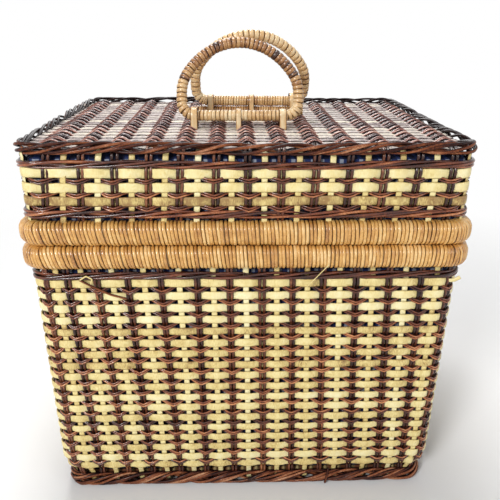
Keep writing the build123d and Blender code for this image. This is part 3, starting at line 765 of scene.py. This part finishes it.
def handle_line():
    """Middle line of the D handle in its own plane (x, h): the bar, a tight corner, a short upright, then
    the side, shoulder and crown arcs, and the same on the other side. Each arc is its centre plus its
    radius times the sine and the cosine of the heading."""
    half_bar, upright, pieces = 47.6, 9.8, 24
    line = [np.stack([np.linspace(0, half_bar, pieces), np.zeros(pieces)], -1)]
    heading = 0.0

    def arc(radius, sweep):
        start = line[-1][-1]
        turn = heading + np.radians(np.linspace(0, sweep, pieces))
        centre = start + radius * np.array([-np.sin(heading), np.cos(heading)])
        line.append(centre + radius * np.stack([np.sin(turn), -np.cos(turn)], -1))
        return turn[-1]

    heading = arc(14.4, 90)
    ahead = np.array([np.cos(heading), np.sin(heading)])
    line.append(line[-1][-1] + np.linspace(0, upright, 8)[:, None] * ahead)
    heading = arc(37.3, 33)
    heading = arc(76.5, 27)
    arc(2 * line[-1][-1][0], 30)
    half = np.concatenate([line[0]] + [part[1:] for part in line[1:]])
    return np.concatenate([half, (half * [-1, 1])[::-1][1:-1]])


D_LINE = handle_line()


def wound_handle(bar, lean, bar_turn, arch_turn):
    """Cane wound round a handle: closed turns set out along its middle line, narrower along the bar than
    on the arch. lean tips the handle's plane by a rotation about X."""
    loop = np.concatenate([D_LINE, D_LINE[:1]])
    run = np.concatenate([[0], np.cumsum(np.linalg.norm(np.diff(loop, axis=0), axis=1))])
    fine = np.linspace(0, run[-1], 4000)
    wide = np.where(np.interp(fine, run, loop[:, 1]) < 3, bar_turn, arch_turn)
    tally = np.cumsum(np.gradient(fine) / wide)
    count = int(tally[-1])
    s = np.interp((np.arange(count) + 0.5) / count * tally[-1], tally, fine)

    def near(shift):
        return np.stack([np.interp(s + shift, run, part, period=run[-1]) for part in loop.T], -1)

    centre = np.stack([np.interp(s, run, part) for part in loop.T], -1)
    along = unit(near(0.4) - near(-0.4))
    away = np.stack([along[:, 1], -along[:, 0]], -1)
    turn = np.arange(14) * 2 * np.pi / 14
    across, deep = np.cos(turn), np.sin(turn)
    proud = WOUND_RADIUS + chance.normal(0, 0.07, (count, 1))
    slant = chance.normal(0.6, 0.15, (count, 1)) * deep
    x = centre[:, :1] + away[:, :1] * proud * across + along[:, :1] * slant
    h = centre[:, 1:] + away[:, 1:] * proud * across + along[:, 1:] * slant
    out = np.stack([away[:, :1] * across, np.broadcast_to(deep, x.shape), away[:, 1:] * across], -1)
    tip = np.array([[1, 0, 0], [0, np.cos(lean), np.sin(lean)], [0, -np.sin(lean), np.cos(lean)]])
    paths = np.stack([x, proud * deep, h], -1) @ tip.T + np.array(bar)
    half = np.interp(s, fine, wide)[:, None] / 2 * chance.normal(1.06, 0.05, (count, 1))
    return paths, out @ tip.T, half, centre


def front_stain(centre):
    """Staining over the front handle's arch, which grows in line with the height, with three round dark
    marks that fade as a bell curve."""
    x, h = centre.T
    arch = np.clip((h - 25) / 35, 0, 1) * 0.46 + np.clip((h - 4) / 20, 0, 1) * 0.16
    places = ((-58, 40), (38, 64), (57, 42))
    return arch + 0.55 * sum(np.exp(-((x - at) ** 2 + (h - up) ** 2) / 6) for at, up in places)


def rear_stain(centre):
    """The rear handle is a little paler all over."""
    return np.full(len(centre), -0.1)


for handle, bar, lean, bar_turn, arch_turn, stain in (
    ("front_handle", FRONT_BAR, LEAN, 4.2, 4.7, front_stain),
    ("rear_handle", REAR_BAR, -LEAN, 3.0, 5.4, rear_stain),
):
    paths, out, half, centre = wound_handle(bar, lean, bar_turn, arch_turn)
    tone = 0.4 + 0.3 * tones(len(paths), 1) - stain(centre)[:, None]
    made = strands(paths, out, half, 1.15, tone, flat=True, closed=True)
    piece(handle + "_cane", handle, made, handle_cane, replaces=[handle + "_binding"])


def wound_bar(middle, half_length, pitch):
    """Cane wound round a straight bar along X: closed turns of one radius."""
    count = int(2 * half_length / pitch)
    x = middle[0] - half_length + (np.arange(count)[:, None] + 0.5) * pitch
    turn = np.arange(14) * 2 * np.pi / 14
    out = np.stack([0 * turn, np.sin(turn), np.cos(turn)], -1)[None] + np.zeros((count, 1, 1))
    proud = WOUND_RADIUS + chance.normal(0, 0.07, (count, 1, 1))
    paths = out * proud + np.array([0, middle[1], middle[2]])
    paths[..., 0] += x + 0.5 * np.sin(turn)
    tone = tones(count, 1, high=0.5)
    return strands(paths, out, pitch / 2 * 1.06, 1.15, tone, flat=True, closed=True)


made = wound_bar(BEARER, 61.8, 2.9)
piece("bearer_cane", "lid", made, handle_cane, replaces=["bearer_binding"])


def ribbon_ties(places, widths, bar, hugs):
    """Flat cane loops over a bar: a half circle over it, legs that spread to the slots in the weave, and
    a run underneath."""
    over = bar[2] - LID_TOP
    slot, under, foot, knee, hip = 9.65, -5.1, -4.9, -0.6, over - 1.5
    turn = np.radians(np.linspace(0, 180, 11))
    ties = []
    for x, width, hug in zip(places, widths, hugs):
        y = np.concatenate([[slot, slot, hug], hug * np.cos(turn), [-hug, -slot, -slot, 0.0]])
        z = np.concatenate([[foot, knee, hip], over + hug * np.sin(turn), [hip, knee, foot, under]])
        out_y = np.concatenate([[0.7, 1, 1], np.cos(turn), [-1, -1, -0.7, 0.0]])
        out_z = np.concatenate([[-0.7, 0, 0], np.sin(turn), [0, 0, -0.7, -1.0]])
        paths = np.stack([np.full_like(y, x), bar[1] + y, LID_TOP + z], -1)[None]
        out = np.stack([0 * y, out_y, out_z], -1)[None]
        tone = tones(1, 1, low=0.6, high=0.9)
        ties.append(strands(paths, out, width / 2, 0.6, tone, flat=True, closed=True))
    return joined(*ties)


quarter = LID_PITCH / 4
made = ribbon_ties([-7 * quarter, -quarter, 5 * quarter], [7.6, 5.5, 7.6], FRONT_BAR, [8.6, 6.6, 6.6])
piece("front_tie_cane", "lid", made, handle_cane, replaces=["front_handle_ties"])
made = ribbon_ties([-5 * quarter, quarter, 7 * quarter], [7.0, 6.0, 7.0], REAR_BAR, [6.6, 6.6, 8.6])
piece("rear_tie_cane", "lid", made, handle_cane, replaces=["rear_handle_ties"])

# Lining

def cloth(name, body, node, levels):
    """Lining sewn to the inside: level rings down the wall, then smaller rings over its floor or top to a
    middle line. levels holds (height, half width, half depth, corner). The walls pull in and out by a
    sine of the place and the height. Its checks run on by distance round and height on the walls, and by
    x and y where it lies level."""
    whole, share = 200, np.arange(201) / 200
    rings = []
    for z, half_w, half_d, corner in levels:
        s = share[:-1] * girth(half_w, half_d, corner) + 1e-6
        x, y, out_x, out_y = outline(s, half_w, half_d, corner)
        pull = 0.7 * np.sin(np.arange(whole) * 0.9 + z * 0.2) * (corner > 4)
        rings.append(np.stack([x + pull * out_x, y + pull * out_y, np.full(whole, z)], -1))
    points = np.array(rings)
    index = np.arange(points.shape[0] * whole).reshape(-1, whole)
    quads = np.stack([index[:-1], np.roll(index[:-1], -1, 1), np.roll(index[1:], -1, 1), index[1:]], -1)
    lying = np.concatenate([points, points[:, :1]], 1)[..., :2] * MM
    hanging = np.stack(np.broadcast_arrays(share * 1.44, points[:, :1, 2] * MM), -1)
    corners = []
    for k in range(len(levels) - 1):
        uv = lying if levels[k][0] == levels[k + 1][0] else hanging
        corners.append(np.stack([uv[k, :-1], uv[k, 1:], uv[k + 1, 1:], uv[k + 1, :-1]], 1))
    form = points.reshape(-1, 3), [quads.reshape(-1, 4)], np.concatenate(corners).reshape(-1, 2), None
    made = piece(name, body, form, cotton, replaces=[node])
    return made


def floor_rings(z, half_w, half_d, corner):
    """Eight rings on a level cloth, from its edge in to a middle line."""
    rings = []
    for share in np.linspace(0, 1, 9)[1:]:
        pull = share * (half_d - 0.02)
        rings.append((z, half_w - pull, half_d - pull, min(corner, max(half_d - pull - 0.01, 0.005))))
    return rings


lining_depth, lining_corner = 8.2, 10.0
body_levels = []
for z in (286.0, 270.0, 240.0, 200.0, 160.0, 120.0, 80.0, 42.0, 17.3):
    body_levels.append((z, *(half - lining_depth for half in body_halves(z)), lining_corner))
body_levels += floor_rings(*body_levels[-1])
cloth("body_cotton", "basket", "body_lining", body_levels)
lid_levels = []
for z in (322.0, 340.0, 360.0, 376.0, 385.0):
    lid_levels.append((z, *(half - lining_depth for half in WALL[:2]), lining_corner))
lid_levels.append((389.8, 199.0, 151.0, 8.0))
lid_levels += floor_rings(*lid_levels[-1])
cloth("lid_cotton", "lid", "lid_lining", lid_levels)

# CAD pieces that stay

kept = {
    "base_panel": base_weave,
    "hinge_rods": stake_reed,
    "body_hinge_loops": honey_cane,
    "lid_hinge_loops": honey_cane,
}
for node in ("body_rim_outer_hoop", "body_rim_inner_hoop", "lid_rim_outer_hoop", "lid_rim_inner_hoop",
             "front_handle_pole", "rear_handle_pole", "bearer_rod"):
    kept[node] = cream_cane
for node, material in kept.items():
    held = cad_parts[node]
    held.data.materials.clear()
    held.data.materials.append(material)

# Floor, light and camera

bend = np.radians(np.arange(10, 91, 10))
reach = np.concatenate([[-5.0, -1.5, -0.5, 0.0, 0.5, 1.0, 1.5], 1.5 + np.sin(bend), [2.5]])
rise = np.concatenate([np.zeros(7), 1 - np.cos(bend), [5.0]])
edges = [np.stack([np.full(len(reach), side), reach, rise], -1) for side in (-6.0, 6.0)]
first = np.arange(len(reach) - 1)
quads = np.stack([first, first + len(reach), first + len(reach) + 1, first + 1], -1)
floor_mesh = bpy.data.meshes.new("floor")
floor_mesh.from_pydata(np.concatenate(edges).tolist(), [], quads.tolist())
floor = bpy.data.objects.new("floor", floor_mesh)
bpy.context.collection.objects.link(floor)


def seen_rays(tree):
    """1 for rays from the camera, for reflections and for rays through a surface, and 0 for the rest."""
    rays = tree.nodes.new("ShaderNodeLightPath")
    kinds = ("Is Camera Ray", "Is Glossy Ray", "Is Transmission Ray")
    camera_ray, glossy_ray, through_ray = (Number(tree, rays.outputs[kind]) for kind in kinds)
    return (camera_ray + glossy_ray + through_ray).held()


def pale_floor():
    """Pale floor that takes the basket's shadow and turns to white in line with its distance from the
    basket, for the rays of seen_rays."""
    make = Finish("pale_floor")
    far = make.number("VectorMath", {"operation": "LENGTH"}, {0: make.place()}, out=1) * 1.6
    share = seen_rays(make.tree) * (far - 0.75).held()
    white = make.node("Emission", inputs={"Color": (1.0, 1.0, 1.0, 1.0), "Strength": 1.0})
    make.set(Base_Color=(0.84, 0.84, 0.84, 1.0), Roughness=0.9)
    mixed = make.node("MixShader", inputs={0: share, 1: make.shader.outputs[0], 2: white})
    make.put(make.tree.nodes["Material Output"].inputs[0], mixed)
    return make.material


floor_mesh.materials.append(pale_floor())


def lamp(name, place, aim, size, power):
    """A square lamp that faces a point."""
    light = bpy.data.lights.new(name, "AREA")
    light.shape, light.size, light.energy = "SQUARE", size, power
    made = bpy.data.objects.new(name, light)
    bpy.context.collection.objects.link(made)
    made.location = place
    made.rotation_euler = (Vector(aim) - Vector(place)).to_track_quat("-Z", "Y").to_euler()


lamp("front_light", (-1.1, -1.9, 1.45), (0, 0, 0.22), size=0.55, power=40)
lamp("fill_light", (1.8, -1.4, 0.9), (0, 0, 0.22), size=1.0, power=9)
lamp("top_light", (-0.2, 0.5, 2.0), (0, 0, 0.35), size=0.7, power=24)
lamp("back_light", (0.0, 2.3, 1.25), (0, 0, 0.4), size=1.1, power=13)

world = bpy.data.worlds.new("studio")
world.use_nodes = True
bpy.context.scene.world = world
tree = world.node_tree
tree.nodes.clear()
ambient = tree.nodes.new("ShaderNodeBackground")
ambient.inputs["Strength"].default_value = 0.3
white = tree.nodes.new("ShaderNodeBackground")
white.inputs["Color"].default_value = (1, 1, 1, 1)
either = tree.nodes.new("ShaderNodeMixShader")
final = tree.nodes.new("ShaderNodeOutputWorld")
tree.links.new(seen_rays(tree).socket, either.inputs[0])
tree.links.new(ambient.outputs[0], either.inputs[1])
tree.links.new(white.outputs[0], either.inputs[2])
tree.links.new(either.outputs[0], final.inputs[0])

camera_data = bpy.data.cameras.new("camera")
camera_data.lens, camera_data.sensor_width, camera_data.sensor_fit = 41.14, 36.0, "HORIZONTAL"
camera_data.clip_end = 50
camera = bpy.data.objects.new("camera", camera_data)
bpy.context.collection.objects.link(camera)
pitch, yaw, roll = np.radians([21.9, 1.995, -0.481])
ahead = Vector((np.sin(yaw) * np.cos(pitch), np.cos(yaw) * np.cos(pitch), -np.sin(pitch)))
level_right = Vector((np.cos(yaw), -np.sin(yaw), 0))
level_up = level_right.cross(ahead)
right = level_right * np.cos(roll) - level_up * np.sin(roll)
up = level_up * np.cos(roll) + level_right * np.sin(roll)
turned = Matrix((right, up, -ahead)).transposed().to_4x4()
camera.matrix_world = Matrix.Translation((-0.0160, -0.6689, 0.5030)) @ turned
bpy.context.scene.camera = camera
